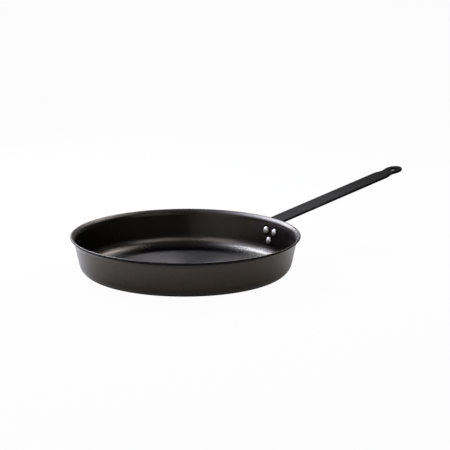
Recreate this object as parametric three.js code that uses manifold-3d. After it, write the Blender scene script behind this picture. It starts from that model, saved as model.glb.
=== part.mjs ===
// A carbon-steel frying pan: a pressed round body with a flared rim, and a strip-steel handle
// that ends in a hanging eye. Three rivets join the handle's palm to the side wall.
// Millimetres, +Z up. The origin is the centre of the underside, and the handle points along +X.
import * as THREE from "three";
import { mergeVertices } from "three/addons/utils/BufferGeometryUtils.js";
import Module from "manifold-3d";

const { degToRad } = THREE.MathUtils;
const { cos, sin, tan, sqrt, PI } = Math;

// Pan body
const rimDiameter = 280;
const panHeight = 47;
const sheetThickness = 2;
const wallLean = degToRad(12.4); // outwards from the vertical
const cornerRadius = 17.5; // between base and wall, on the outside
const lipRadius = 9; // the rim's flare, on its hollow outer side
const lipPitch = degToRad(30); // climb of the flare at its edge, above the horizontal

// Handle
const stripWidth = 26;
const stripThickness = 2.5;
const stripPitch = degToRad(11.6); // climb of the grip above the horizontal
const stripEdgeBevel = 0.5;
const gripLength = 189.5; // from the end of the bend to the middle of the eye
const bendRadius = 12; // on the middle of the strip
const lipClearance = 0.6; // between the bend and the rim's edge
const palmShoulder = 2.2; // how far the palm is wider than the strip, on each side
const shoulderRadius = 6; // hollow between the palm and the strip
const neckDepth = 3; // how far each edge is drawn in before the eye
const neckRadius = 13;
const eyeBulge = 2; // how far the eye is wider than the neck, on each side
const hangHoleDiameter = 8;

// Rivets
const shankDiameter = 5;
const rivetHeadDiameter = 9.5;
const innerHeadHeight = 3;
const outerHeadHeight = 2.2;
const headRim = 0.5; // straight edge of a head, under its dome
const rivetEdgeDistance = 6.8; // from a rivet's middle to the palm's edge
const rivetRowSpacing = 11.6; // from the lower rivet to the upper pair, along the wall
const rivetBendClearance = 0.9; // from the upper heads to the start of the bend
const shankClearance = 0.3; // round each shank
const seatGap = 0.3; // between faces that seat on each other

// Facets: segments round an axis, and steps along an arc or an edge
const bodySegments = 96;
const rivetSegments = 20;
const holeSegments = 32;
const cornerSteps = 8;
const lipSteps = 5;
const rimEdgeSteps = 5;
const domeSteps = 6;
const palmSteps = 6;
const shoulderSteps = 4;
const bendSteps = 8;
const gripSteps = 7;
const neckSteps = 4;
const eyeSteps = 12;
const acrossSteps = 6;
const leastFacet = 1e-9; // square millimetres: anything smaller is only a line

const wasm = await Module();
wasm.setup();

// A closed three.js geometry as a solid for joining and cutting.
function toSolid(geometry) {
  const bare = geometry.clone();
  bare.deleteAttribute("normal");
  bare.deleteAttribute("uv");
  const merged = mergeVertices(bare);
  const vertProperties = merged.attributes.position.array;
  const triVerts = new Uint32Array(merged.index.array);
  return new wasm.Manifold(new wasm.Mesh({ numProp: 3, vertProperties, triVerts }));
}

function toGeometry(solid) {
  const mesh = solid.getMesh();
  const geometry = new THREE.BufferGeometry();
  geometry.setAttribute("position", new THREE.BufferAttribute(mesh.vertProperties, 3));
  geometry.setIndex(new THREE.BufferAttribute(mesh.triVerts, 1));
  geometry.computeVertexNormals();
  return geometry;
}

function cut(geometry, cutters) {
  const pierced = cutters.reduce((solid, cutter) => solid.subtract(toSolid(cutter)), toSolid(geometry));
  return toGeometry(pierced);
}

// Points on a circle, from one polar angle to another.
function arc(centre, radius, from, to, steps) {
  return Array.from({ length: steps + 1 }, (_, i) => {
    const angle = from + ((to - from) * i) / steps;
    return new THREE.Vector2(centre.x + radius * cos(angle), centre.y + radius * sin(angle));
  });
}

// The sheet's side in a plane through the pan's axis, where x is the radius and y the height.
// The middle of the sheet climbs the wall from wallFoot to wallTop, then flares out to rimEdge.
const halfSheet = sheetThickness / 2;
const halfStrip = stripThickness / 2;
const wallPitch = PI / 2 - wallLean;
const wallUp = new THREE.Vector2(cos(wallPitch), sin(wallPitch));
const wallOut = new THREE.Vector2(sin(wallPitch), -cos(wallPitch));
const rimEdge = new THREE.Vector2(rimDiameter / 2 - halfSheet, panHeight - halfSheet);
const lipMiddle = lipRadius + halfSheet;
const wallTop = new THREE.Vector2(
  rimEdge.x - lipMiddle * (sin(wallPitch) - sin(lipPitch)),
  rimEdge.y - lipMiddle * (cos(lipPitch) - cos(wallPitch)),
);
const cornerMiddle = cornerRadius - halfSheet;
const footHeight = halfSheet + cornerMiddle * (1 - cos(wallPitch));
const wallFoot = new THREE.Vector2(wallTop.x - (wallTop.y - footHeight) / tan(wallPitch), footHeight);
const floorRadius = wallFoot.x - cornerMiddle * sin(wallPitch);

// A point beside the wall: its distance up from wallTop, and out from the middle of the sheet.
function besideWall(up, out) {
  return wallTop.clone().addScaledVector(wallUp, up).addScaledVector(wallOut, out);
}

function bodyProfile() {
  const cornerCentre = new THREE.Vector2(floorRadius, cornerRadius);
  const lipCentre = besideWall(0, lipMiddle);
  const quarter = PI / 2;
  return [
    new THREE.Vector2(0, 0),
    ...arc(cornerCentre, cornerRadius, -quarter, wallPitch - quarter, cornerSteps),
    ...arc(lipCentre, lipRadius, wallPitch + quarter, lipPitch + quarter, lipSteps),
    ...arc(rimEdge, halfSheet, lipPitch - quarter, lipPitch + quarter, rimEdgeSteps).slice(1, -1),
    ...arc(lipCentre, lipRadius + sheetThickness, lipPitch + quarter, wallPitch + quarter, lipSteps),
    ...arc(cornerCentre, cornerRadius - sheetThickness, wallPitch - quarter, -quarter, cornerSteps),
    new THREE.Vector2(0, sheetThickness),
  ];
}

// The handle's middle line, in the same plane. It lies flat on the wall as the palm, bends away
// just under the rim and runs straight to the eye. Lengths along it start at the lower rivet.
const palmOffset = halfSheet + seatGap + halfStrip;
const rimAbove = rimEdge.clone().sub(wallTop);
const bendReach = bendRadius + halfStrip + lipClearance + halfSheet;
const bendAside = palmOffset + bendRadius - rimAbove.dot(wallOut);
const bendUp = rimAbove.dot(wallUp) - sqrt(bendReach ** 2 - bendAside ** 2);
const bendCentre = besideWall(bendUp, palmOffset + bendRadius);
const headRadius = rivetHeadDiameter / 2;
const bendStart = rivetRowSpacing + headRadius + rivetBendClearance;
const bendEnd = bendStart + bendRadius * (wallPitch - stripPitch);
const eyeAt = bendEnd + gripLength;

// The point, the climb and the crown at a length along the middle line. The crown is the palm's
// curve across its width, which follows the wall and fades out through the bend.
function middleLine(along) {
  const bent = THREE.MathUtils.clamp((along - bendStart) / (bendEnd - bendStart), 0, 1);
  const pitch = wallPitch + (stripPitch - wallPitch) * bent;
  const before = Math.min(along - bendStart, 0);
  const after = Math.max(along - bendEnd, 0);
  const point = new THREE.Vector2(
    bendCentre.x - bendRadius * sin(pitch) + (before + after) * cos(pitch),
    bendCentre.y + bendRadius * cos(pitch) + (before + after) * sin(pitch),
  );
  const crown = ((1 - bent) * cos(wallLean)) / point.x;
  return { point, pitch, crown };
}

// A point of the flat blank, bent into place. Depth is positive on the handle's underside.
function bend(along, across, depth) {
  const { point, pitch, crown } = middleLine(along);
  const under = depth - (crown * across ** 2) / 2;
  const x = point.x + under * sin(pitch);
  const z = point.y - under * cos(pitch);
  return new THREE.Vector3(x, across * (1 + crown * depth), z);
}

// One edge of the flat blank, from the palm's tip to the eye's tip: x is the length along the
// handle, and y is half of the width there.
const halfStripWidth = stripWidth / 2;
const rivetAside = halfStripWidth + palmShoulder - rivetEdgeDistance;
const neckHalf = halfStripWidth - neckDepth;
const eyeRadius = neckHalf + eyeBulge;

function blankEdge() {
  const lowerRivet = new THREE.Vector2(0, 0);
  const upperRivet = new THREE.Vector2(rivetRowSpacing, rivetAside);
  const flank = upperRivet.angle() + PI / 2;
  const shoulderAside = halfStripWidth + shoulderRadius;
  const shoulderSpan = rivetEdgeDistance + shoulderRadius;
  const shoulderAlong = sqrt(shoulderSpan ** 2 - (shoulderAside - rivetAside) ** 2);
  const shoulder = new THREE.Vector2(rivetRowSpacing + shoulderAlong, shoulderAside);
  const shoulderTouch = shoulder.clone().sub(upperRivet).angle();

  const eye = new THREE.Vector2(eyeAt, 0);
  const neckSpan = eyeRadius + neckRadius;
  const neckAlong = sqrt(neckSpan ** 2 - (neckHalf + neckRadius) ** 2);
  const neck = new THREE.Vector2(eyeAt - neckAlong, neckHalf + neckRadius);
  const neckTouch = neck.clone().sub(eye).angle();
  const easeAlong = sqrt(4 * neckRadius * neckDepth - neckDepth ** 2);
  const ease = new THREE.Vector2(neck.x - easeAlong, halfStripWidth - neckRadius);
  const easeTouch = neck.clone().sub(ease).angle();

  const straight = (from, to, steps) =>
    Array.from({ length: steps }, (_, i) => {
      const along = from + ((to - from) * (i + 1)) / steps;
      return new THREE.Vector2(along, halfStripWidth);
    });
  const downwards = 1.5 * PI;
  return [
    ...arc(lowerRivet, rivetEdgeDistance, PI, flank, palmSteps),
    ...arc(upperRivet, rivetEdgeDistance, flank, shoulderTouch, palmSteps),
    ...arc(shoulder, shoulderRadius, shoulderTouch + PI, downwards, shoulderSteps).slice(1),
    ...straight(shoulder.x, bendEnd, bendSteps),
    ...straight(bendEnd, ease.x, gripSteps),
    ...arc(ease, neckRadius, PI / 2, easeTouch, neckSteps).slice(1),
    ...arc(neck, neckRadius, easeTouch + PI, downwards, neckSteps).slice(1),
    ...arc(neck, neckRadius, downwards, neckTouch + PI, neckSteps).slice(1),
    ...arc(eye, eyeRadius, neckTouch, 0, eyeSteps).slice(1),
  ];
}

// Moves each point of the blank's edge inwards, square to the edge. The tips stay on the axis,
// because there the blank's other edge goes on as the mirror image.
function insetEdge(edge, inset) {
  const mirrored = (point) => new THREE.Vector2(point.x, -point.y);
  return edge.map((point, i) => {
    const before = edge[i - 1] ?? mirrored(edge[i + 1]);
    const after = edge[i + 1] ?? mirrored(edge[i - 1]);
    const run = after.clone().sub(before).normalize();
    return new THREE.Vector2(point.x + inset * run.y, point.y - inset * run.x);
  });
}

// Rings round the strip, one for each point of the blank's edge, skinned into a closed surface.
function handleBlank() {
  const outline = blankEdge();
  const face = insetEdge(outline, stripEdgeBevel);
  const sideDepth = halfStrip - stripEdgeBevel;
  const rings = outline.map((side, i) => {
    const acrossFace = (depth, hand) =>
      Array.from({ length: acrossSteps + 1 }, (_, j) =>
        bend(face[i].x, hand * face[i].y * (1 - (2 * j) / acrossSteps), depth),
      );
    const edge = (depth, hand) => bend(side.x, hand * side.y, depth);
    return [
      ...acrossFace(-halfStrip, 1),
      edge(-sideDepth, -1),
      edge(sideDepth, -1),
      ...acrossFace(halfStrip, -1),
      edge(sideDepth, 1),
      edge(-sideDepth, 1),
    ];
  });
  return skin(rings);
}

// Triangles between neighbouring rings. Those that shrink to a line at the tips are left out.
function skin(rings) {
  const corners = [];
  const addTriangle = (...points) => {
    const area = new THREE.Triangle(...points).getArea();
    if (area > leastFacet) corners.push(...points);
  };
  for (let i = 0; i + 1 < rings.length; i++) {
    const [ring, next] = [rings[i], rings[i + 1]];
    ring.forEach((point, j) => {
      const k = (j + 1) % ring.length;
      addTriangle(point, ring[k], next[j]);
      addTriangle(ring[k], next[k], next[j]);
    });
  }
  return new THREE.BufferGeometry().setFromPoints(corners);
}

// One head of a rivet, from its crown to its shank: x is the radius, and y is along the rivet.
function headProfile(seat, height) {
  const rise = height - headRim;
  const domeRadius = (headRadius ** 2 + rise ** 2) / (2 * rise);
  const domeCentre = new THREE.Vector2(0, seat + height - domeRadius);
  const domeEdge = Math.asin(1 - rise / domeRadius);
  return [
    new THREE.Vector2(0, seat + height),
    ...arc(domeCentre, domeRadius, PI / 2, domeEdge, domeSteps).slice(1),
    new THREE.Vector2(headRadius, seat),
    new THREE.Vector2(shankDiameter / 2, seat),
  ];
}

// A whole rivet, from the head inside the pan to the head on the palm. Its y is 0 on the wall's
// inner face.
function rivetProfile() {
  const palmFace = sheetThickness + seatGap + stripThickness;
  const innerHead = headProfile(seatGap, innerHeadHeight).map(({ x, y }) => new THREE.Vector2(x, -y));
  const outerHead = headProfile(palmFace + seatGap, outerHeadHeight).reverse();
  return [...innerHead, ...outerHead];
}

// Where each rivet goes through the wall: square to the wall, at its own turn round the pan.
const upperRow = bendUp - headRadius - rivetBendClearance;
const lowerRow = upperRow - rivetRowSpacing;
const upperTurn = rivetAside / besideWall(upperRow, palmOffset).x;
const rivetPlaces = {
  rivet_upper_left: { up: upperRow, turn: upperTurn },
  rivet_upper_right: { up: upperRow, turn: -upperTurn },
  rivet_lower: { up: lowerRow, turn: 0 },
};

function placeAtRivet(object, { up, turn }) {
  const seat = besideWall(up, -halfSheet);
  object.position.set(seat.x * cos(turn), seat.x * sin(turn), seat.y);
  object.rotation.set(0, wallLean, turn, "ZYX");
  object.updateMatrix();
  return object;
}

// A cutter for a round hole, which runs well past both faces of the wall and the palm.
function drill(diameter) {
  const length = 4 * (sheetThickness + stripThickness);
  return new THREE.CylinderGeometry(diameter / 2, diameter / 2, length, holeSegments);
}

function rivetHole(place) {
  const hole = drill(shankDiameter + 2 * shankClearance).rotateZ(PI / 2);
  return hole.applyMatrix4(placeAtRivet(new THREE.Object3D(), place).matrix);
}

function hangHole() {
  const { point, pitch } = middleLine(eyeAt);
  const hole = drill(hangHoleDiameter).rotateX(PI / 2);
  return hole.rotateY(-pitch).translate(point.x, 0, point.y);
}

// Finishes
const seasonedSteel = new THREE.MeshStandardMaterial({ color: 0x2c2926, roughness: 0.36, metalness: 0.5 });
const blackedSteel = new THREE.MeshStandardMaterial({ color: 0x262626, roughness: 0.55, metalness: 0.4 });
const brightSteel = new THREE.MeshStandardMaterial({ color: 0xc8c8c4, roughness: 0.28, metalness: 1 });

function named(name, geometry, material) {
  const mesh = new THREE.Mesh(geometry, material);
  mesh.name = name;
  return mesh;
}

const rivetHoles = Object.values(rivetPlaces).map(rivetHole);

function panBody() {
  const spun = new THREE.LatheGeometry(bodyProfile(), bodySegments).rotateX(PI / 2);
  return named("pan_body", cut(spun, rivetHoles), seasonedSteel);
}

function handle() {
  return named("handle", cut(handleBlank(), [...rivetHoles, hangHole()]), blackedSteel);
}

function rivet(name, place) {
  const turned = new THREE.LatheGeometry(rivetProfile(), rivetSegments).rotateZ(-PI / 2);
  return placeAtRivet(named(name, turned, brightSteel), place);
}

const fryingPan = new THREE.Group();
fryingPan.add(panBody(), handle());
for (const [name, place] of Object.entries(rivetPlaces)) fryingPan.add(rivet(name, place));

export default fryingPan;
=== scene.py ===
"""A riveted carbon-steel frying pan: fine surfaces and finishes around its CAD frame. Metres, +Z up."""
from math import asin, atan2, cos, pi, radians, sin, sqrt, tan

import bmesh
import bpy
from mathutils import Matrix, Vector

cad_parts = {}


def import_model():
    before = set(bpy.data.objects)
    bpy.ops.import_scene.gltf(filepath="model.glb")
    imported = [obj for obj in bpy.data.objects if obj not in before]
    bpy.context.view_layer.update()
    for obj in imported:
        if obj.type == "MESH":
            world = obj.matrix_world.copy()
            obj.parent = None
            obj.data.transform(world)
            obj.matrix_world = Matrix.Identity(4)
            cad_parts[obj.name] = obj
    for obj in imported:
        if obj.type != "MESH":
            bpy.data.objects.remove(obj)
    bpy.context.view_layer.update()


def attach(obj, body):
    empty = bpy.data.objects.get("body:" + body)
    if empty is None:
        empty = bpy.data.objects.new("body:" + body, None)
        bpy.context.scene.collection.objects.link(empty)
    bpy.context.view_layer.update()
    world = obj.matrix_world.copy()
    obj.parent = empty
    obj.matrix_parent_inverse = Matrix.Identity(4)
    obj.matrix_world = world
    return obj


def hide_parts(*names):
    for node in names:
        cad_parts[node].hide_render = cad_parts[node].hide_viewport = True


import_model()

MM = 0.001
QUARTER = pi / 2

# Pan body, as in the CAD frame
RIM_RADIUS = 140 * MM
PAN_HEIGHT = 47 * MM
SHEET = 2 * MM
WALL_LEAN = radians(12.4)  # outwards from the vertical
CORNER_RADIUS = 17.5 * MM  # between base and wall, on the outside
LIP_RADIUS = 9 * MM  # the rim's flare, on its hollow outer side
LIP_PITCH = radians(30)  # climb of the flare at its edge

# Handle, as in the CAD frame
STRIP_WIDTH = 26 * MM
STRIP = 2.5 * MM
STRIP_PITCH = radians(11.6)
GRIP_LENGTH = 189.5 * MM  # from the end of the bend to the middle of the eye
BEND_RADIUS = 12 * MM  # on the middle of the strip
LIP_CLEARANCE = 0.6 * MM  # between the bent strip and the pan's rim
PALM_SHOULDER = 2.2 * MM  # how far the palm is wider than the strip, on each side
SHOULDER_RADIUS = 6 * MM
NECK_DEPTH = 3 * MM  # how far the neck is narrower than the strip, on each side
NECK_RADIUS = 13 * MM
EYE_BULGE = 2 * MM  # how far the eye is wider than the neck, on each side
HANG_HOLE_RADIUS = 4 * MM
STRIP_EDGE_RADIUS = 0.55 * MM
HOLE_EDGE_BREAK = 0.1 * MM

# Rivets, as in the CAD frame
SHANK_RADIUS = 2.5 * MM
HEAD_RADIUS = 4.75 * MM
INNER_HEAD = 3 * MM
OUTER_HEAD = 2.2 * MM
HEAD_RIM = 0.5 * MM  # height of a head's straight side, under its dome
RIVET_EDGE = 6.8 * MM  # from a rivet's middle to the palm's edge
ROW_SPACING = 11.6 * MM  # from the lower rivet up to the upper two
BEND_CLEARANCE = 0.9 * MM  # from the upper heads to the start of the bend
SHANK_CLEARANCE = 0.3 * MM  # round each shank, in its holes
SEAT_GAP = 0.3 * MM  # between wall and palm, and under the heads

# Fineness of the meshes
BODY_SEGMENTS = 384
RIVET_SEGMENTS = 48
HOLE_SEGMENTS = 48
ARC_STEP = radians(3)
FEWEST_ARC_STEPS = 3
BEND_STEPS = 24
ROUND_STEPS = 4
ACROSS_STEPS = 8
STRAIGHT_STEP = 6 * MM
MERGE_DISTANCE = 0.001 * MM
CRISP_ANGLE = radians(40)  # edges that turn more than this stay sharp

# Colours of the pan's body, by place
OUTSIDE_COLOUR = (0.0485, 0.040, 0.0317, 1)
WALL_COLOUR = (0.033, 0.0302, 0.0275, 1)
# Brighter than the wall, so that the corner's highlights come out stronger: painted highlight
CORNER_HIGHLIGHT_COLOUR = (0.122, 0.117, 0.113, 1)
# Nearly black: painted shade for the wall's dark reflection and its shadow at the floor's edge
CORNER_RING_SHADE_COLOUR = (0.015, 0.014, 0.013, 1)
COOKING_FLOOR_COLOUR = (0.071, 0.070, 0.072, 1)
# Brighter than the wall, so that the rim's highlights come out stronger: painted highlight
LIP_HIGHLIGHT_COLOUR = (0.117, 0.114, 0.113, 1)
# Black and matt under the lip, at the foot and round the rivets: painted shade
PAINTED_SHADE_COLOUR = (0.004, 0.004, 0.004, 1)
BLOTCH_TINT = (1.25, 1.1, 1.0, 1)  # times those, in patches
RING_TINT = (1.3, 1.2, 1.1, 1)  # and along the ring marks

# Gloss of the pan's body
INSIDE_ROUGHNESS = 0.28
COOKING_FLOOR_ROUGHNESS = 0.37
LIP_ROUGHNESS = 0.36
OUTSIDE_ROUGHNESS = 0.28
BLOTCH_ROUGHNESS = 0.03  # more or less, from patch to patch
GRAIN_STRETCH = 0.8  # of highlights on the cooking floor, across its circular grain
GRAIN_TURN = 0.25  # of a full turn, from the Tangent node's direction
FOOT_COAT = 0.2  # share of the outside that baked oil covers, at its foot and under its lip; the thinner coat at the foot dims reflections there as painted shade
LIP_COAT = 0.6
# Strength of the painted shade under the lip and round the rivets, and its shine
UNDER_LIP_SHADE = 0.85
RIVET_SHADE = 0.9
PAINTED_SHADE_SHINE = 0.0

# Finish of the handle
SCALE_COLOUR = (0.017, 0.017, 0.0172, 1)
THIN_SCALE_COLOUR = (0.0235, 0.0225, 0.0225, 1)
EYE_END_SHADE = (0.33, 0.29, 0.24, 1)  # times those, towards the eye: painted shade
# Painted shade along the handle's edges
EDGE_SHADE_COLOUR = (0.0015, 0.0015, 0.0015, 1)
RUBBED_COLOUR = (0.035, 0.034, 0.033, 1)
SCALE_ROUGHNESS = 0.5
THIN_SCALE_ROUGHNESS = 0.6
PIT_ROUGHNESS = 0.05  # more or less, with the pits
EDGE_ROUGHNESS = 0.95
SCALE_SHINE = 0.08
EDGE_REACH = 4 * MM  # how far in from an edge the painted shade along it reaches
EDGE_SAMPLES = 8
EDGE_FLATNESS = (0.9995, 0.99)  # cosine of the angle to the rounded surface: on a flat face, on an edge

# Finish of the rivets
RIVET_COLOUR = (0.70, 0.69, 0.68, 1)
RIVET_SCRATCH_COLOUR = (0.45, 0.44, 0.42, 1)
RIVET_GRIME_COLOUR = (0.06, 0.05, 0.045, 1)
SMOOTH_RIVET_ROUGHNESS = 0.46
SCRATCHED_RIVET_ROUGHNESS = 0.58
SCRATCH_STRETCH = (1, 9, 1)

# Noise in the finishes: features per metre, the depth of its relief and how its values are used
BLOTCHES = 22.0
RING_MARKS = 900.0
RING_DRIFT = (3, 3, 3)  # how the ring marks change on their way round
GRAIN = 2200.0
GRAIN_SHARE = 0.4  # of the ring marks' depth
BODY_RELIEF = 0.003 * MM
SCALE_CLOUDS = 60.0
SCALE_PITS = 900.0
SCALE_CLOUD_SHARE = 2.0  # of the pits' depth
SCALE_RELIEF = 0.03 * MM
HAMMER_MARKS = 450.0
HAMMER_SHARE = 3.0  # of the scratches' depth
SCRATCHES = 700.0
RIVET_DIRT = 500.0
RIVET_RELIEF = 0.02 * MM
NOISE_RANGE = (0.3, 0.7)  # where nearly all of a noise's values lie
BLOTCH_RANGE = (0.35, 0.65)
RUB_RANGE = (0.55, 0.68)
SCRATCH_RANGE = (0.4, 0.6)
DIRT_RANGE = (0.25, 0.55)
BLOTCH_STRENGTH = 0.35
RING_STRENGTH = 0.3
SCRATCH_STRENGTH = 0.25

# Studio
FLOOR_REACH = 6.0
FLOOR_SEGMENTS = 128
FLOOR_DROP = 0.1 * MM  # keeps the pan's underside off the floor's own plane
FLOOR_COLOUR = (0.8, 0.8, 0.8, 1)
FLOOR_WHITE_SHARE = 0.97  # how much of the floor is plain white to the camera
FLOOR_MIRRORED_SHARE = 0.26  # and in reflections, which show more of its shade
ROOM_BRIGHTNESS = 0.18  # at eye level
CEILING_BRIGHTNESS = 0.03
ROOM_FADE = (0.1, 0.5)  # from eye level to ceiling, as the upward part of a direction
BACKDROP_WHITE = 0.98  # to the camera alone
LAMP_DISTANCE = 0.8
# Each soft lamp: degrees from +X and above the floor, width and height in metres, brightness, colour
SOFTBOXES = {
    "key_box": (91, 46, 0.28, 0.21, 11.6, (0.83, 0.90, 1)),
    "left_side_box": (116, 46, 0.16, 0.20, 4.1, (0.87, 0.91, 1)),
    "left_top_box": (112, 58, 0.13, 0.17, 10.9, (0.77, 0.79, 1)),
    "left_lower_box": (112, 32, 0.24, 0.17, 4.1, (0.76, 0.80, 1)),
    "left_low_box": (122, 8, 0.84, 0.18, 1.3, (0.89, 0.77, 1)),
    "left_front_box": (146, 50, 0.31, 0.49, 1.15, (0.88, 0.85, 1)),
    "back_left_box": (80, 29, 0.32, 0.17, 11.9, (0.92, 0.92, 1)),
    "back_right_box": (45, 44, 0.14, 0.22, 11.4, (0.90, 0.91, 1)),
    "right_box": (20, 44, 0.14, 0.22, 5.9, (1, 0.96, 0.90)),
    "right_high_box": (-4, 51, 0.18, 0.40, 1.5, (1, 0.91, 0.88)),
    "front_left_box": (-172, 40, 0.55, 0.49, 1.1, (1, 0.93, 0.92)),
    "front_right_box": (-82, 44, 0.61, 0.37, 0.94, (1, 0.97, 0.97)),
    "front_box": (-127, 44, 0.31, 0.37, 0.44, (1, 0.91, 0.82)),
    "front_low_box": (-172, 10, 1.32, 0.24, 0.85, (1, 0.93, 0.88)),
}

# Camera
VIEW_TURN = radians(37.04)  # of the line of sight, from +Y towards +X
VIEW_RISE = radians(13.52)
VIEW_DISTANCE = 3.0
VIEW_TARGET = Vector((38.3, -28.9, 59.1)) * MM
VIEW_LENS = 197.63  # millimetres, on Blender's own 36 mm sensor


# Curves in a plane

def polar(centre, radius, angle):
    return centre + radius * Vector((cos(angle), sin(angle)))


def arc(centre, radius, start, end):
    steps = max(FEWEST_ARC_STEPS, round(abs(end - start) / ARC_STEP))
    return [polar(centre, radius, start + (end - start) * i / steps) for i in range(steps + 1)]


def angle_of(vector):
    return atan2(vector.y, vector.x)


def joined(*stretches):
    """One line of points through the stretches, with a point every few millimetres on the straight runs."""
    points = list(stretches[0])
    for stretch in stretches[1:]:
        start = points[-1]
        run = stretch[0] - start
        steps = max(1, round(run.length / STRAIGHT_STEP))
        points += [start + run * i / steps for i in range(1, steps)]
        points += stretch if run.length > MERGE_DISTANCE else stretch[1:]
    return points


# The sheet's side, where x is the distance from the pan's axis and y the height

WALL_PITCH = QUARTER - WALL_LEAN
WALL_UP = Vector((cos(WALL_PITCH), sin(WALL_PITCH)))
WALL_OUT = Vector((sin(WALL_PITCH), -cos(WALL_PITCH)))
RIM_EDGE = Vector((RIM_RADIUS - SHEET / 2, PAN_HEIGHT - SHEET / 2))
LIP_MIDDLE = LIP_RADIUS + SHEET / 2
WALL_TOP = RIM_EDGE - LIP_MIDDLE * Vector(
    (sin(WALL_PITCH) - sin(LIP_PITCH), cos(LIP_PITCH) - cos(WALL_PITCH))
)
CORNER_MIDDLE = CORNER_RADIUS - SHEET / 2
FOOT_HEIGHT = SHEET / 2 + CORNER_MIDDLE * (1 - cos(WALL_PITCH))
FOOT_RADIUS = WALL_TOP.x - (WALL_TOP.y - FOOT_HEIGHT) / tan(WALL_PITCH)
FLOOR_RADIUS = FOOT_RADIUS - CORNER_MIDDLE * sin(WALL_PITCH)


def beside_wall(up, out):
    """A point at a distance up from the wall's top, and out from the middle of the sheet."""
    return WALL_TOP + up * WALL_UP + out * WALL_OUT


def body_profile():
    corner = Vector((FLOOR_RADIUS, CORNER_RADIUS))
    lip = beside_wall(0, LIP_MIDDLE)
    return joined(
        [Vector((0, 0))],
        arc(corner, CORNER_RADIUS, -QUARTER, WALL_PITCH - QUARTER),
        arc(lip, LIP_RADIUS, WALL_PITCH + QUARTER, LIP_PITCH + QUARTER),
        arc(RIM_EDGE, SHEET / 2, LIP_PITCH - QUARTER, LIP_PITCH + QUARTER),
        arc(lip, LIP_RADIUS + SHEET, LIP_PITCH + QUARTER, WALL_PITCH + QUARTER),
        arc(corner, CORNER_RADIUS - SHEET, WALL_PITCH - QUARTER, -QUARTER),
        [Vector((0, SHEET))],
    )


# The handle's middle line in the same plane. Lengths along it start at the lower rivet

PALM_OFFSET = SHEET / 2 + SEAT_GAP + STRIP / 2
RIM_ABOVE = RIM_EDGE - WALL_TOP
BEND_REACH = BEND_RADIUS + STRIP / 2 + LIP_CLEARANCE + SHEET / 2
BEND_ASIDE = PALM_OFFSET + BEND_RADIUS - RIM_ABOVE.dot(WALL_OUT)
BEND_UP = RIM_ABOVE.dot(WALL_UP) - sqrt(BEND_REACH**2 - BEND_ASIDE**2)
BEND_CENTRE = beside_wall(BEND_UP, PALM_OFFSET + BEND_RADIUS)
BEND_START = ROW_SPACING + HEAD_RADIUS + BEND_CLEARANCE
BEND_END = BEND_START + BEND_RADIUS * (WALL_PITCH - STRIP_PITCH)
EYE_AT = BEND_END + GRIP_LENGTH


def middle_line(along):
    """The point, the climb and the crown across the width, at a length along the handle."""
    bent = min(max((along - BEND_START) / (BEND_END - BEND_START), 0), 1)
    pitch = WALL_PITCH + (STRIP_PITCH - WALL_PITCH) * bent
    straight = min(along - BEND_START, 0) + max(along - BEND_END, 0)
    point = BEND_CENTRE + BEND_RADIUS * Vector((-sin(pitch), cos(pitch)))
    point += straight * Vector((cos(pitch), sin(pitch)))
    crown = (1 - bent) * cos(WALL_LEAN) / point.x
    return point, pitch, crown


def bend(along, across, depth):
    """A point of the flat blank, bent into place. Depth is positive on the underside."""
    point, pitch, crown = middle_line(along)
    under = depth - crown * across**2 / 2
    place = point + under * Vector((sin(pitch), -cos(pitch)))
    return Vector((place.x, across * (1 + crown * depth), place.y))


HALF_WIDTH = STRIP_WIDTH / 2
RIVET_ASIDE = HALF_WIDTH + PALM_SHOULDER - RIVET_EDGE
NECK_HALF = HALF_WIDTH - NECK_DEPTH
EYE_RADIUS = NECK_HALF + EYE_BULGE


def blank_edge():
    """One edge of the flat blank, from the palm's tip to the eye's: length along, and half the width."""
    lower_rivet = Vector((0, 0))
    upper_rivet = Vector((ROW_SPACING, RIVET_ASIDE))
    flank = angle_of(upper_rivet) + QUARTER
    shoulder_aside = HALF_WIDTH + SHOULDER_RADIUS
    shoulder_span = RIVET_EDGE + SHOULDER_RADIUS
    shoulder_along = sqrt(shoulder_span**2 - (shoulder_aside - RIVET_ASIDE) ** 2)
    shoulder = Vector((ROW_SPACING + shoulder_along, shoulder_aside))
    shoulder_touch = angle_of(shoulder - upper_rivet)

    eye = Vector((EYE_AT, 0))
    neck_along = sqrt((EYE_RADIUS + NECK_RADIUS) ** 2 - (NECK_HALF + NECK_RADIUS) ** 2)
    neck = Vector((EYE_AT - neck_along, NECK_HALF + NECK_RADIUS))
    neck_touch = angle_of(neck - eye)
    ease_along = sqrt(4 * NECK_RADIUS * NECK_DEPTH - NECK_DEPTH**2)
    ease = Vector((neck.x - ease_along, HALF_WIDTH - NECK_RADIUS))
    ease_touch = angle_of(neck - ease)

    bend_length = (BEND_END - shoulder.x) / BEND_STEPS
    bend_points = [Vector((shoulder.x + bend_length * i, HALF_WIDTH)) for i in range(1, BEND_STEPS + 1)]
    return joined(
        arc(lower_rivet, RIVET_EDGE, pi, flank),
        arc(upper_rivet, RIVET_EDGE, flank, shoulder_touch),
        arc(shoulder, SHOULDER_RADIUS, shoulder_touch + pi, pi + QUARTER),
        bend_points,
        arc(ease, NECK_RADIUS, QUARTER, ease_touch),
        arc(neck, NECK_RADIUS, ease_touch + pi, neck_touch + pi),
        arc(eye, EYE_RADIUS, neck_touch, 0),
    )


def inset_edge(edge, inset):
    """The blank's edge moved inwards, square to itself. Its other half goes on as the mirror image."""
    moved = []
    for i, point in enumerate(edge):
        before = edge[i - 1] if i > 0 else Vector((edge[1].x, -edge[1].y))
        after = edge[i + 1] if i + 1 < len(edge) else Vector((edge[-2].x, -edge[-2].y))
        run = (after - before).normalized()
        moved.append(point + inset * Vector((run.y, -run.x)))
    return moved


# Meshes

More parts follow.
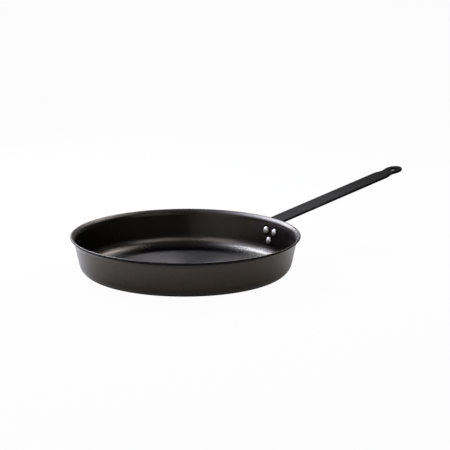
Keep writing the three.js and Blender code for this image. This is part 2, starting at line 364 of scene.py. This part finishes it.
def skinned(rings):
    """A closed mesh over rings of points. A ring of one point closes an end."""
    mesh = bmesh.new()
    rows = [[mesh.verts.new(point) for point in ring] for ring in rings]
    for row, following in zip(rows, rows[1:]):
        for i in range(max(len(row), len(following))):
            j = i + 1
            corners = (
                row[i % len(row)],
                row[j % len(row)],
                following[j % len(following)],
                following[i % len(following)],
            )
            mesh.faces.new(dict.fromkeys(corners))
    return mesh


def lathed(profile, segments):
    """A profile of (radius, height) points, from axis to axis, spun round the Z axis."""
    turns = [2 * pi * i / segments for i in range(segments)]
    rings = []
    for radius, height in profile:
        ring = [Vector((radius * cos(turn), radius * sin(turn), height)) for turn in turns]
        rings.append(ring if radius > 0 else ring[:1])
    return skinned(rings)


def piece_of(name, mesh, material):
    """A Blender object from a mesh under construction, with its faces pointing out."""
    bmesh.ops.remove_doubles(mesh, verts=mesh.verts, dist=MERGE_DISTANCE)
    bmesh.ops.recalc_face_normals(mesh, faces=mesh.faces)
    data = bpy.data.meshes.new(name)
    mesh.to_mesh(data)
    mesh.free()
    data.materials.append(material)
    piece = bpy.data.objects.new(name, data)
    bpy.context.scene.collection.objects.link(piece)
    return piece


def weld(data):
    """Joins points that lie together, so that no face is left without an area."""
    mesh = bmesh.new()
    mesh.from_mesh(data)
    bmesh.ops.remove_doubles(mesh, verts=mesh.verts, dist=MERGE_DISTANCE)
    bmesh.ops.dissolve_degenerate(mesh, dist=MERGE_DISTANCE, edges=mesh.edges)
    mesh.to_mesh(data)
    mesh.free()


def carve(piece, cutters):
    """Cuts the cutters out of the piece, and removes them."""
    for cutter in cutters:
        hole = piece.modifiers.new(cutter.name, "BOOLEAN")
        hole.operation = "DIFFERENCE"
        hole.solver = "EXACT"
        hole.object = cutter
    evaluated = piece.evaluated_get(bpy.context.evaluated_depsgraph_get())
    carved = bpy.data.meshes.new_from_object(evaluated)
    piece.modifiers.clear()
    weld(carved)
    piece.data = carved
    for cutter in cutters:
        bpy.data.objects.remove(cutter)


def smooth(piece):
    """Rounded faces shade smoothly, and the rims of holes stay crisp."""
    piece.data.shade_smooth()
    piece.data.set_sharp_from_angle(angle=CRISP_ANGLE)
    weighted = piece.modifiers.new("even_faces", "WEIGHTED_NORMAL")
    weighted.keep_sharp = True


def belongs(piece, node):
    """The piece stands for a CAD node, whose mesh it hides, and rides on the pan's one body."""
    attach(piece, "root")
    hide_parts(node)


# Rivets and their holes

UPPER_ROW = BEND_UP - HEAD_RADIUS - BEND_CLEARANCE
LOWER_ROW = UPPER_ROW - ROW_SPACING
UPPER_TURN = RIVET_ASIDE / beside_wall(UPPER_ROW, PALM_OFFSET).x
RIVETS = {
    "upper_left": (UPPER_ROW, UPPER_TURN),
    "upper_right": (UPPER_ROW, -UPPER_TURN),
    "lower": (LOWER_ROW, 0),
}


def rivet_place(row, turn):
    """Square to the wall: local +Z points out of the pan, and the origin is on the wall's inner face."""
    seat = beside_wall(row, -SHEET / 2)
    place = Matrix.Translation((seat.x * cos(turn), seat.x * sin(turn), seat.y))
    return place @ Matrix.Rotation(turn, 4, "Z") @ Matrix.Rotation(QUARTER + WALL_LEAN, 4, "Y")


def head_profile(height):
    """A domed head, from its crown to its shank, where y is 0 at the seat."""
    rise = height - HEAD_RIM
    dome_radius = (HEAD_RADIUS**2 + rise**2) / (2 * rise)
    dome_centre = Vector((0, height - dome_radius))
    dome_edge = asin(1 - rise / dome_radius)
    dome = arc(dome_centre, dome_radius, QUARTER, dome_edge)
    dome[0].x = 0
    return dome + [Vector((HEAD_RADIUS, 0)), Vector((SHANK_RADIUS, 0))]


def rivet_profile():
    outer_seat = SHEET + SEAT_GAP + STRIP + SEAT_GAP
    inner = [Vector((x, -SEAT_GAP - y)) for x, y in head_profile(INNER_HEAD)]
    outer = [Vector((x, outer_seat + y)) for x, y in head_profile(OUTER_HEAD)]
    return inner + outer[::-1]


def drill(name, profile, place):
    cutter = piece_of(name, lathed(profile, HOLE_SEGMENTS), None)
    cutter.matrix_world = place
    return cutter


def rivet_drills():
    radius = SHANK_RADIUS + SHANK_CLEARANCE
    reach = 2 * (SHEET + STRIP)
    profile = [Vector(point) for point in ((0, -reach), (radius, -reach), (radius, reach), (0, reach))]
    return [drill(f"drill_{name}", profile, rivet_place(*place)) for name, place in RIVETS.items()]


def hang_drill():
    """The hanging hole, with its sharp edges broken on both faces."""
    point, pitch, _ = middle_line(EYE_AT)
    reach = STRIP / 2 + HOLE_EDGE_BREAK
    wall = STRIP / 2 - HOLE_EDGE_BREAK
    mouth = HANG_HOLE_RADIUS + 2 * HOLE_EDGE_BREAK
    half = [(HANG_HOLE_RADIUS, wall), (mouth, reach), (0, reach)]
    profile = [Vector((x, -y)) for x, y in half[::-1]] + [Vector(corner) for corner in half]
    place = Matrix.Translation((point.x, 0, point.y)) @ Matrix.Rotation(-pitch, 4, "Y")
    return drill("drill_eye", profile, place)


# Pieces

def pan(material):
    piece = piece_of("pressed_pan", lathed(body_profile(), BODY_SEGMENTS), material)
    carve(piece, rivet_drills())
    smooth(piece)
    belongs(piece, "pan_body")


def handle_rings():
    """Sections of the bent strip with rounded edges, one for each point of the blank's edge."""
    outline = blank_edge()
    turns = [QUARTER * i / ROUND_STEPS for i in range(ROUND_STEPS + 1)]
    edges = [inset_edge(outline, STRIP_EDGE_RADIUS * (1 - sin(turn))) for turn in turns]
    depths = [STRIP / 2 - STRIP_EDGE_RADIUS * (1 - cos(turn)) for turn in turns]
    rounding = range(1, ROUND_STEPS + 1)
    rings = []
    for i in range(len(outline)):
        face = edges[0][i]
        spread = [1 - 2 * j / ACROSS_STEPS for j in range(ACROSS_STEPS + 1)]
        down = [(edges[k][i], -depths[k]) for k in rounding]
        down += [(edges[k][i], depths[k]) for k in reversed(rounding)]
        ring = [bend(face.x, face.y * share, -depths[0]) for share in spread]
        ring += [bend(side.x, -side.y, depth) for side, depth in down]
        ring += [bend(face.x, -face.y * share, depths[0]) for share in spread]
        ring += [bend(side.x, side.y, depth) for side, depth in reversed(down)]
        rings.append(ring)
    return rings


def handle(material):
    piece = piece_of("strip_handle", skinned(handle_rings()), material)
    carve(piece, [*rivet_drills(), hang_drill()])
    smooth(piece)
    belongs(piece, "handle")


def rivets(material):
    for name, place in RIVETS.items():
        piece = piece_of(f"{name}_rivet", lathed(rivet_profile(), RIVET_SEGMENTS), material)
        piece.matrix_world = rivet_place(*place)
        smooth(piece)
        belongs(piece, f"rivet_{name}")


# Finishes

class Nodes:
    """Short calls that add nodes to a tree."""

    def __init__(self, tree):
        self.tree = tree

    def add(self, kind, inputs=None, **settings):
        """A new node's first output. Inputs are numbers, colours or other nodes' outputs."""
        node = self.tree.nodes.new("ShaderNode" + kind)
        for name, value in settings.items():
            setattr(node, name, value)
        for socket, value in (inputs or {}).items():
            self.feed(node.inputs[socket], value)
        return node.outputs[0]

    def feed(self, socket, value):
        if isinstance(value, bpy.types.NodeSocket):
            self.tree.links.new(value, socket)
        else:
            socket.default_value = value

    def math(self, operation, first, second):
        return self.add("Math", {0: first, 1: second}, operation=operation)

    def vector(self, operation, first, second=(0, 0, 0)):
        return self.add("VectorMath", {0: first, 1: second}, operation=operation)

    def number(self, operation, first, second=(0, 0, 0)):
        """A vector operation that gives one number."""
        return self.vector(operation, first, second).node.outputs["Value"]

    def part(self, vector, axis):
        """A vector's part along X, Y or Z."""
        return self.add("SeparateXYZ", {0: vector}).node.outputs[axis]

    def noise(self, vector, scale, detail=2.0, roughness=0.5):
        inputs = {"Vector": vector, "Scale": scale, "Detail": detail, "Roughness": roughness}
        return self.add("TexNoise", inputs)

    def ramp(self, value, low, high, start=0.0, end=1.0, curve="SMOOTHSTEP"):
        """The value spread from low..high to start..end, and held at the ends."""
        inputs = {"Value": value, "From Min": low, "From Max": high, "To Min": start, "To Max": end}
        return self.add("MapRange", inputs, interpolation_type=curve)

    def blend(self, share, first, second):
        """From one number to another."""
        return self.add("Mix", {0: share, 2: first, 3: second})

    def tint(self, share, first, second, how="MIX"):
        """From one colour to another."""
        mixed = self.add("Mix", {0: share, 6: first, 7: second}, data_type="RGBA", blend_type=how)
        return mixed.node.outputs[2]


class Finish(Nodes):
    """A material with one Principled shader."""

    def __init__(self, name):
        self.material = bpy.data.materials.new(name)
        self.material.use_nodes = True
        super().__init__(self.material.node_tree)
        self.surface = self.tree.nodes["Principled BSDF"]
        coordinates = self.add("TexCoord").node
        self.place = coordinates.outputs["Object"]
        self.facing = coordinates.outputs["Normal"]

    def shade(self, inputs):
        for name, value in inputs.items():
            self.feed(self.surface.inputs[name], value)

    def bump(self, height, distance):
        self.shade({"Normal": self.add("Bump", {"Height": height, "Distance": distance})})


# Places where the finishes change: where each starts, and where it is full

OUTSIDE = (-0.3, -0.05)  # how far a face looks out, less how far it looks up
COOKING_FLOOR = (FLOOR_RADIUS - 4 * MM, FLOOR_RADIUS - 18 * MM)  # from the pan's axis; the corner ring's painted shade fades out across it onto the floor
CORNER_RING_SHADE = (FLOOR_RADIUS + 4.5 * MM, FLOOR_RADIUS)  # from the pan's axis: painted shade for the wall's dark reflection and its shadow
WALL = (9.5 * MM, 15.5 * MM)  # height, where the corner's painted highlight gives way to the wall
LIP = (PAN_HEIGHT - 4.2 * MM, PAN_HEIGHT - 2.4 * MM)  # height, where the lip's finish starts, with its painted highlight
UNDER_LIP_SHADE_BAND = (PAN_HEIGHT - 4.6 * MM, PAN_HEIGHT - 3.2 * MM)  # height of the painted shade under the lip
FOOT_SHADE_BAND = (4 * MM, 1.5 * MM)  # height of the painted shade at the wall's foot
OILED_WALL = (5 * MM, 40 * MM)  # height, over which the coat thickens from the foot upwards
RIVET_SHADE_RING = (HEAD_RADIUS + 3 * MM, HEAD_RADIUS + 1 * MM)  # from a rivet's middle: painted shade round it
RIVET_FOOT = (HEAD_RADIUS - 1.1 * MM, HEAD_RADIUS - 0.1 * MM)  # from the rivet's axis
HANDLE_SHADE_FADE = (RIM_RADIUS + 70 * MM, RIM_RADIUS + 145 * MM)  # along +X, over which painted shade darkens the handle towards the eye
MIRRORED_FLOOR = (RIM_RADIUS - 35 * MM, RIM_RADIUS + 25 * MM)  # from the pan's axis


def painted_shade_on(finish, outside, height):
    """How much painted shade darkens the surface: most under the lip, at the wall's foot and round the
    rivets.
    """
    under_lip_shade = finish.ramp(height, *UNDER_LIP_SHADE_BAND, 0.0, UNDER_LIP_SHADE)
    foot_shade = finish.ramp(height, *FOOT_SHADE_BAND)
    painted_shade = finish.math("MULTIPLY", outside, finish.math("MAXIMUM", under_lip_shade, foot_shade))
    for place in RIVETS.values():
        away = finish.number("DISTANCE", finish.place, rivet_place(*place).translation)
        ring_shade = finish.ramp(away, *RIVET_SHADE_RING, 0.0, RIVET_SHADE)
        painted_shade = finish.math("MAXIMUM", painted_shade, ring_shade)
    return painted_shade


def ring_marks(finish, around, along):
    """Noise that runs in rings round the pan's axis."""
    step = finish.add("CombineXYZ", {"Z": finish.math("MULTIPLY", along, RING_MARKS)})
    drift = finish.vector("MULTIPLY", around, RING_DRIFT)
    return finish.noise(finish.vector("ADD", drift, step), 1.0, detail=3.0)


def seasoned_steel():
    """Dark baked-on seasoning with ring marks: satin outside, smoother inside, and grained on the floor.
    Its colour also carries painted highlights on the corner and lip, and painted shade in the corner ring,
    under the lip, at the foot and round the rivets.
    """
    finish = Finish("seasoned_steel")
    flat = finish.vector("MULTIPLY", finish.place, (1, 1, 0))
    radius = finish.number("LENGTH", flat)
    around = finish.vector("NORMALIZE", flat)
    height = finish.part(finish.place, "Z")
    outwards = finish.number("DOT_PRODUCT", finish.facing, finish.vector("SUBTRACT", around, (0, 0, 1)))

    outside = finish.ramp(outwards, *OUTSIDE)
    cooking_floor = finish.ramp(radius, *COOKING_FLOOR)
    lip = finish.ramp(height, *LIP)
    painted_shade = painted_shade_on(finish, outside, height)
    unshaded = finish.math("SUBTRACT", 1.0, painted_shade)

    # Painted shade in the corner ring, and painted highlight on the rest of the corner
    colour = finish.tint(finish.ramp(radius, *CORNER_RING_SHADE), CORNER_HIGHLIGHT_COLOUR, CORNER_RING_SHADE_COLOUR)
    colour = finish.tint(cooking_floor, colour, COOKING_FLOOR_COLOUR)
    colour = finish.tint(finish.ramp(height, *WALL), colour, WALL_COLOUR)
    # Painted highlight on the lip
    colour = finish.tint(lip, colour, LIP_HIGHLIGHT_COLOUR)
    colour = finish.tint(outside, colour, OUTSIDE_COLOUR)
    rough = finish.blend(cooking_floor, INSIDE_ROUGHNESS, COOKING_FLOOR_ROUGHNESS)
    rough = finish.blend(lip, rough, LIP_ROUGHNESS)
    rough = finish.blend(outside, rough, OUTSIDE_ROUGHNESS)

    rings = ring_marks(finish, around, finish.math("ADD", radius, height))
    blotch = finish.noise(finish.place, BLOTCHES, detail=4.0, roughness=0.6)
    grain = finish.math("MULTIPLY", finish.noise(finish.place, GRAIN), GRAIN_SHARE)
    patchy = finish.ramp(blotch, *BLOTCH_RANGE, 0.0, BLOTCH_STRENGTH)
    ringed = finish.ramp(rings, *NOISE_RANGE, 0.0, RING_STRENGTH)
    colour = finish.tint(patchy, colour, BLOTCH_TINT, "MULTIPLY")
    colour = finish.tint(ringed, colour, RING_TINT, "MULTIPLY")
    uneven = finish.ramp(blotch, *NOISE_RANGE, -BLOTCH_ROUGHNESS, BLOTCH_ROUGHNESS)

    stretch = finish.math("MULTIPLY", cooking_floor, finish.math("SUBTRACT", 1.0, outside))
    oil = finish.ramp(height, *OILED_WALL, FOOT_COAT, LIP_COAT)
    finish.shade({
        "Base Color": finish.tint(painted_shade, colour, PAINTED_SHADE_COLOUR),
        "Metallic": unshaded,
        "Specular IOR Level": PAINTED_SHADE_SHINE,
        "Roughness": finish.math("ADD", rough, uneven),
        "Anisotropic": finish.math("MULTIPLY", stretch, GRAIN_STRETCH),
        "Anisotropic Rotation": GRAIN_TURN,
        "Tangent": finish.add("Tangent", direction_type="RADIAL", axis="Z"),
        "Coat Weight": finish.math("MULTIPLY", finish.math("MULTIPLY", outside, unshaded), oil),
        "Coat Roughness": OUTSIDE_ROUGHNESS,
    })
    finish.bump(finish.math("ADD", grain, rings), BODY_RELIEF)
    return finish.material


def blacked_steel():
    """Matt black scale with fine pits and cloudy patches, with painted shade darkening it towards the eye
    and along the edges, which are also rubbed.
    """
    finish = Finish("blacked_steel")
    cloud = finish.noise(finish.place, SCALE_CLOUDS, detail=5.0, roughness=0.6)
    pits = finish.noise(finish.place, SCALE_PITS, detail=3.0, roughness=0.6)
    rounded = finish.add("Bevel", {"Radius": EDGE_REACH}, samples=EDGE_SAMPLES)
    true_normal = finish.add("NewGeometry").node.outputs["True Normal"]
    edge = finish.ramp(finish.number("DOT_PRODUCT", rounded, true_normal), *EDGE_FLATNESS)
    rub = finish.math("MULTIPLY", edge, finish.ramp(cloud, *RUB_RANGE))
    eye_shade = finish.ramp(finish.part(finish.place, "X"), *HANDLE_SHADE_FADE)

    colour = finish.tint(finish.ramp(cloud, *NOISE_RANGE), SCALE_COLOUR, THIN_SCALE_COLOUR)
    # Painted shade, darker towards the eye
    colour = finish.tint(eye_shade, colour, EYE_END_SHADE, "MULTIPLY")
    # Painted shade along the edges
    colour = finish.tint(edge, colour, EDGE_SHADE_COLOUR)
    colour = finish.tint(rub, colour, RUBBED_COLOUR)
    rough = finish.ramp(cloud, *NOISE_RANGE, SCALE_ROUGHNESS, THIN_SCALE_ROUGHNESS)
    rough = finish.math("ADD", rough, finish.ramp(pits, *NOISE_RANGE, -PIT_ROUGHNESS, PIT_ROUGHNESS))
    rough = finish.blend(edge, rough, EDGE_ROUGHNESS)
    finish.shade({"Base Color": colour, "Roughness": rough, "Specular IOR Level": SCALE_SHINE})
    clouds = finish.math("MULTIPLY", cloud, SCALE_CLOUD_SHARE)
    finish.bump(finish.math("ADD", pits, clouds), SCALE_RELIEF)
    return finish.material


def bright_steel():
    """Bright rivet steel with fine hammer marks and scratches, and a dirty ring round each head's foot."""
    finish = Finish("bright_steel")
    radius = finish.number("LENGTH", finish.vector("MULTIPLY", finish.place, (1, 1, 0)))
    hammered = finish.math("MULTIPLY", finish.noise(finish.place, HAMMER_MARKS), HAMMER_SHARE)
    stretched = finish.vector("MULTIPLY", finish.place, SCRATCH_STRETCH)
    scratches = finish.noise(stretched, SCRATCHES, detail=3.0)
    dirt = finish.noise(finish.place, RIVET_DIRT, detail=3.0, roughness=0.6)
    grime = finish.math("MULTIPLY", finish.ramp(radius, *RIVET_FOOT), finish.ramp(dirt, *DIRT_RANGE))
    scratched = finish.ramp(scratches, *SCRATCH_RANGE, 0.0, SCRATCH_STRENGTH)
    colour = finish.tint(scratched, RIVET_COLOUR, RIVET_SCRATCH_COLOUR)
    rough = finish.ramp(scratches, *NOISE_RANGE, SMOOTH_RIVET_ROUGHNESS, SCRATCHED_RIVET_ROUGHNESS)
    finish.shade({
        "Base Color": finish.tint(grime, colour, RIVET_GRIME_COLOUR),
        "Metallic": 1.0,
        "Roughness": rough,
    })
    finish.bump(finish.math("ADD", hammered, scratches), RIVET_RELIEF)
    return finish.material


# Studio

def floor():
    """A floor that the camera sees as white. Reflections show more of its shade."""
    mesh = bmesh.new()
    bmesh.ops.create_circle(mesh, cap_ends=True, segments=FLOOR_SEGMENTS, radius=FLOOR_REACH)
    bmesh.ops.translate(mesh, verts=mesh.verts, vec=(0, 0, -FLOOR_DROP))
    finish = Finish("pale_floor")
    path = finish.add("LightPath").node.outputs
    looked_at = finish.math("MULTIPLY", path["Is Camera Ray"], FLOOR_WHITE_SHARE)
    off_pan = finish.ramp(finish.number("LENGTH", finish.place), *MIRRORED_FLOOR)
    mirrored = finish.math("MULTIPLY", path["Is Glossy Ray"], off_pan)
    mirrored = finish.math("MULTIPLY", mirrored, FLOOR_MIRRORED_SHARE)
    matt = finish.add("BsdfDiffuse", {"Color": FLOOR_COLOUR})
    white = finish.add("Emission")
    share = finish.math("MAXIMUM", looked_at, mirrored)
    mixed = finish.add("MixShader", {0: share, 1: matt, 2: white})
    finish.feed(finish.tree.nodes["Material Output"].inputs["Surface"], mixed)
    finish.tree.nodes.remove(finish.surface)
    piece_of("floor", mesh, finish.material)


def towards(turn, rise):
    return Vector((cos(turn) * cos(rise), sin(turn) * cos(rise), sin(rise)))


def softboxes():
    """Lamps with a soft face towards the pan. One of brightness 1 would look plain white."""
    for name, (turn, rise, width, height, brightness, colour) in SOFTBOXES.items():
        lamp = bpy.data.lights.new(name, "AREA")
        lamp.shape = "RECTANGLE"
        lamp.size = width
        lamp.size_y = height
        lamp.energy = brightness * pi * width * height
        lamp.color = colour
        box = bpy.data.objects.new(name, lamp)
        direction = towards(radians(turn), radians(rise))
        box.location = LAMP_DISTANCE * direction
        box.rotation_euler = direction.to_track_quat("Z", "Y").to_euler()
        box.visible_camera = False
        bpy.context.scene.collection.objects.link(box)


def world():
    """A dim room, darker overhead, and a white backdrop where the camera looks past the floor."""
    studio = bpy.data.worlds.new("studio")
    studio.use_nodes = True
    bpy.context.scene.world = studio
    nodes = Nodes(studio.node_tree)
    upwards = nodes.part(nodes.add("TexCoord").node.outputs["Generated"], "Z")
    room = nodes.ramp(upwards, *ROOM_FADE, ROOM_BRIGHTNESS, CEILING_BRIGHTNESS, "LINEAR")
    looked_at = nodes.add("LightPath").node.outputs["Is Camera Ray"]
    background = nodes.tree.nodes["Background"]
    background.inputs["Color"].default_value = (1, 1, 1, 1)
    nodes.feed(background.inputs["Strength"], nodes.blend(looked_at, room, BACKDROP_WHITE))


def camera():
    sight = Vector((sin(VIEW_TURN) * cos(VIEW_RISE), cos(VIEW_TURN) * cos(VIEW_RISE), -sin(VIEW_RISE)))
    lens = bpy.data.cameras.new("camera")
    lens.lens = VIEW_LENS
    taker = bpy.data.objects.new("camera", lens)
    taker.location = VIEW_TARGET - VIEW_DISTANCE * sight
    taker.rotation_euler = sight.to_track_quat("-Z", "Y").to_euler()
    bpy.context.scene.collection.objects.link(taker)
    bpy.context.scene.camera = taker


pan(seasoned_steel())
handle(blacked_steel())
rivets(bright_steel())
floor()
softboxes()
world()
camera()
bpy.context.scene.view_settings.view_transform = "Standard"
